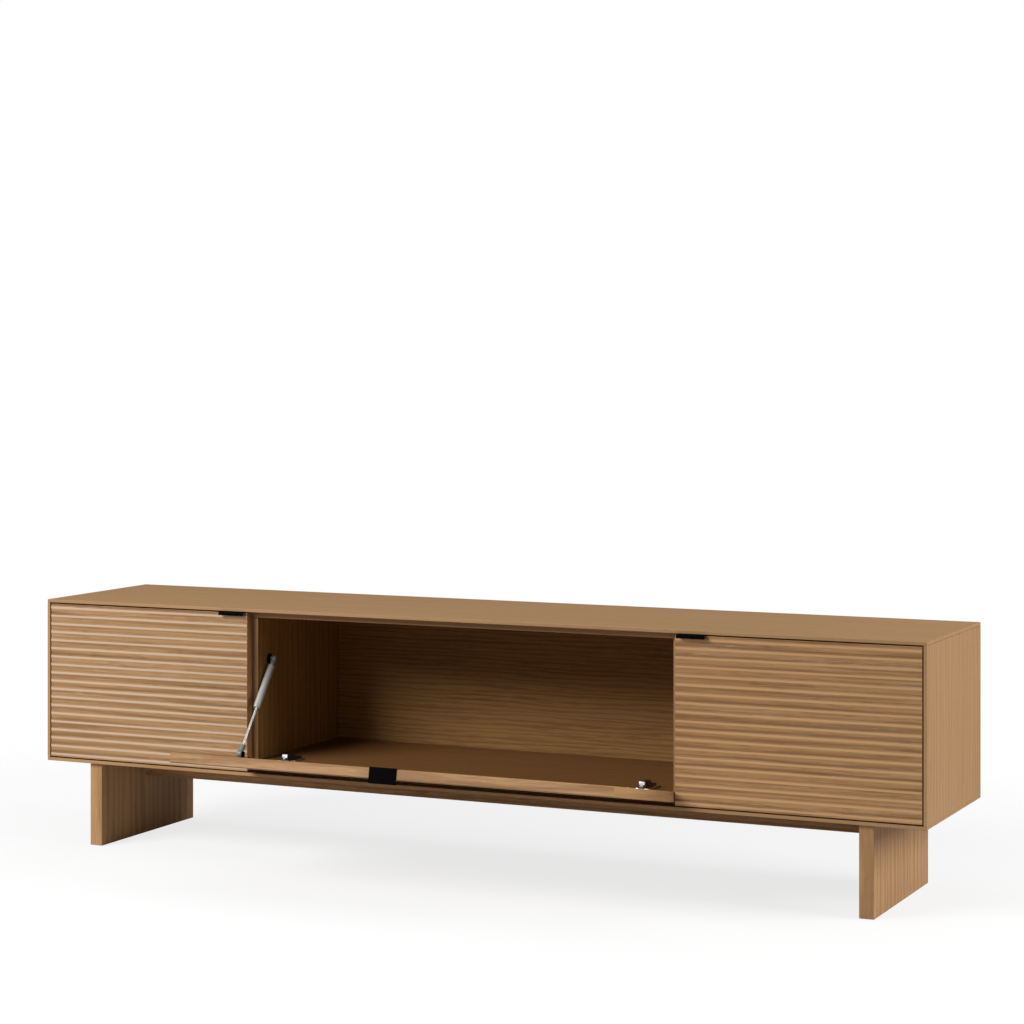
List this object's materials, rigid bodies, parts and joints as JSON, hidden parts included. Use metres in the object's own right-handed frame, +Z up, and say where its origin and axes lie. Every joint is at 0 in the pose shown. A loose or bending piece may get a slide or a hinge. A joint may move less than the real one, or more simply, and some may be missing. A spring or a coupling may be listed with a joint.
{
  "type": "media cabinet",
  "caption": "Long low oak media cabinet on slab legs, with horizontally ribbed side doors and a drop-down middle flap on a gas strut.",
  "frame": {"origin": "on the floor, under the middle of the cabinet's box with the flap open", "axes": "+Z up, +X along the cabinet to the right as seen from the front, +Y from the front to the back"},
  "size_m": [2.1, 0.7526, 0.566],
  "materials": {
    "black_metal": "satin black powder coat",
    "grey_paint": "smooth light grey paint",
    "grey_plastic": "moulded, slightly green grey",
    "nickel": "nickel-plated pressed steel",
    "nylon": "moulded dark nylon",
    "oak": "oak veneer and oak lippings under a matt lacquer",
    "oak_ribbed": "oak milled with level ribs, with a slightly limed matt lacquer",
    "polished_steel": "ground and polished rod"
  },
  "bodies": {
    "case": {"back_panel": "oak", "bottom_panel": "oak", "centre_rail": "oak", "flap_hinge_arm_left": "nickel", "flap_hinge_arm_right": "nickel", "flap_hinge_plate_left": "nickel", "flap_hinge_plate_right": "nickel", "left_divider": "oak", "left_door_hinge_arm_lower": "nickel", "left_door_hinge_arm_upper": "nickel", "left_door_hinge_plate_lower": "nickel", "left_door_hinge_plate_upper": "nickel", "left_glide_back": "nylon", "left_glide_front": "nylon", "left_leg": "oak", "left_shelf": "oak", "left_shelf_pin_inner_back": "nickel", "left_shelf_pin_inner_front": "nickel", "left_shelf_pin_outer_back": "nickel", "left_shelf_pin_outer_front": "nickel", "left_side_panel": "oak", "right_divider": "oak", "right_door_hinge_arm_lower": "nickel", "right_door_hinge_arm_upper": "nickel", "right_door_hinge_plate_lower": "nickel", "right_door_hinge_plate_upper": "nickel", "right_glide_back": "nylon", "right_glide_front": "nylon", "right_leg": "oak", "right_shelf": "oak", "right_shelf_pin_inner_back": "nickel", "right_shelf_pin_inner_front": "nickel", "right_shelf_pin_outer_back": "nickel", "right_shelf_pin_outer_front": "nickel", "right_side_panel": "oak", "strut_case_bracket": "black_metal", "top_panel": "oak"},
    "flap": {"flap_door": "oak_ribbed", "flap_hinge_cup_left": "nickel", "flap_hinge_cup_right": "nickel", "flap_pull": "black_metal", "strut_flap_bracket": "black_metal"},
    "flap_links": {"flap_hinge_link_left": "nickel", "flap_hinge_link_right": "nickel"},
    "left_door": {"left_door": "oak_ribbed", "left_door_hinge_cup_lower": "nickel", "left_door_hinge_cup_upper": "nickel", "left_pull": "black_metal"},
    "left_links": {"left_door_hinge_link_lower": "nickel", "left_door_hinge_link_upper": "nickel"},
    "right_door": {"right_door": "oak_ribbed", "right_door_hinge_cup_lower": "nickel", "right_door_hinge_cup_upper": "nickel", "right_pull": "black_metal"},
    "right_links": {"right_door_hinge_link_lower": "nickel", "right_door_hinge_link_upper": "nickel"},
    "strut_rod": {"strut_foot_fitting": "grey_plastic", "strut_rod": "polished_steel"},
    "strut_tube": {"strut_head_fitting": "grey_plastic", "strut_tube": "grey_paint"}
  },
  "joints": [
    {"name": "flap_hinge", "type": "hinge", "parent": "case", "child": "flap", "pos_m": [0, -0.0352, 0.214], "axis": [-1, 0, 0], "range_deg": [0, 79.3]},
    {"name": "left_door_hinge", "type": "hinge", "parent": "case", "child": "left_door", "pos_m": [-1.03, -0.0362, 0.3785], "axis": [0, 0, -1], "range_deg": [0, 95]},
    {"name": "right_door_hinge", "type": "hinge", "parent": "case", "child": "right_door", "pos_m": [1.03, -0.0362, 0.3785], "axis": [0, 0, 1], "range_deg": [0, 95]},
    {"name": "flap_link_turn", "type": "hinge", "parent": "case", "child": "flap_links", "pos_m": [0, -0.0352, 0.214], "axis": [-1, 0, 0], "range_deg": [0, 39.7]},
    {"name": "left_link_turn", "type": "hinge", "parent": "case", "child": "left_links", "pos_m": [-1.03, -0.0362, 0.3785], "axis": [0, 0, -1], "range_deg": [0, 47.55]},
    {"name": "right_link_turn", "type": "hinge", "parent": "case", "child": "right_links", "pos_m": [1.03, -0.0362, 0.3785], "axis": [0, 0, 1], "range_deg": [0, 47.55]},
    {"name": "strut_foot_pivot", "type": "hinge", "parent": "flap", "child": "strut_rod", "pos_m": [-0.487, -0.11829, 0.25362], "axis": [1, 0, 0], "range_deg": [0, 100.24]},
    {"name": "strut_slide", "type": "slide", "parent": "strut_rod", "child": "strut_tube", "axis": [0, -0.6144, -0.789], "range_m": [0, 0.09455]}
  ],
  "couplings": [
    {"joint": "flap_link_turn", "follows": "flap_hinge", "ratio": 0.5},
    {"joint": "left_link_turn", "follows": "left_door_hinge", "ratio": 0.5},
    {"joint": "right_link_turn", "follows": "right_door_hinge", "ratio": 0.5},
    {"joint": "strut_foot_pivot", "follows": "flap_hinge", "ratio": 1.2638},
    {"joint": "strut_slide", "follows": "flap_hinge", "m_per_rad": 0.068299}
  ]
}
